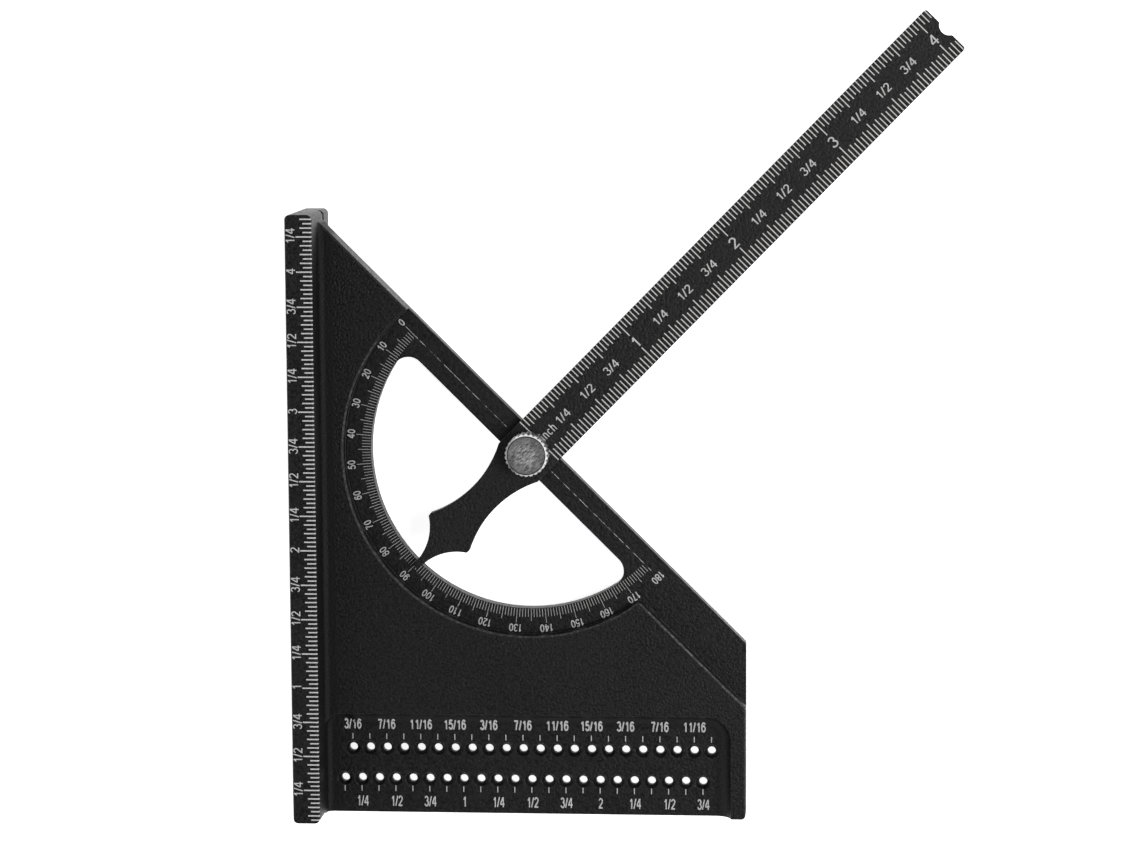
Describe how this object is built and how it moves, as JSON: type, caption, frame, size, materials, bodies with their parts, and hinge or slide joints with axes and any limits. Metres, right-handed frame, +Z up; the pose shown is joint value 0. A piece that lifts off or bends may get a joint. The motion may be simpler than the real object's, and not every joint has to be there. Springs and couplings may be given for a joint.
{
  "type": "multi-angle folding ruler",
  "caption": "Triangular fenced square with a half-round dial window, rows of scribing holes and a narrow rule arm that swings on a knurled clamp knob.",
  "frame": {"origin": "corner where the plane of the fence's registration face, the plate's underside and the zero end of the fence scale meet", "axes": "+X out from the registration face along the zero end, +Y along the fence away from its zero end, +Z up out of the marked face"},
  "size_m": [0.1218, 0.1477, 0.0208],
  "materials": {
    "body_anodised": "black anodised, fine bead-blasted",
    "arm_anodised": "black anodised, fine bead-blasted",
    "stud_steel": "turned steel",
    "friction_nylon": "natural nylon",
    "washer_steel": "stamped steel",
    "spring_steel": "bright spring steel",
    "knob_metal": "turned and knurled, bare bright aluminium"
  },
  "bodies": {
    "square": {"square_body": "body_anodised", "pivot_stud": "stud_steel", "friction_washer": "friction_nylon", "flat_washer": "washer_steel", "wave_washer": "spring_steel"},
    "arm": {"ruler_arm": "arm_anodised"},
    "knob": {"clamp_knob": "knob_metal"}
  },
  "joints": [
    {"name": "arm_swing", "type": "hinge", "parent": "square", "child": "arm", "pos_m": [0.03822, 0.06802, 0.0042], "axis": [0, 0, 1], "range_deg": [-90.45, 75.55]},
    {"name": "knob_turn", "type": "hinge", "parent": "square", "child": "knob", "pos_m": [0.03822, 0.06802, 0.0085], "axis": [0, 0, 1], "range_deg": [0, 360]}
  ]
}
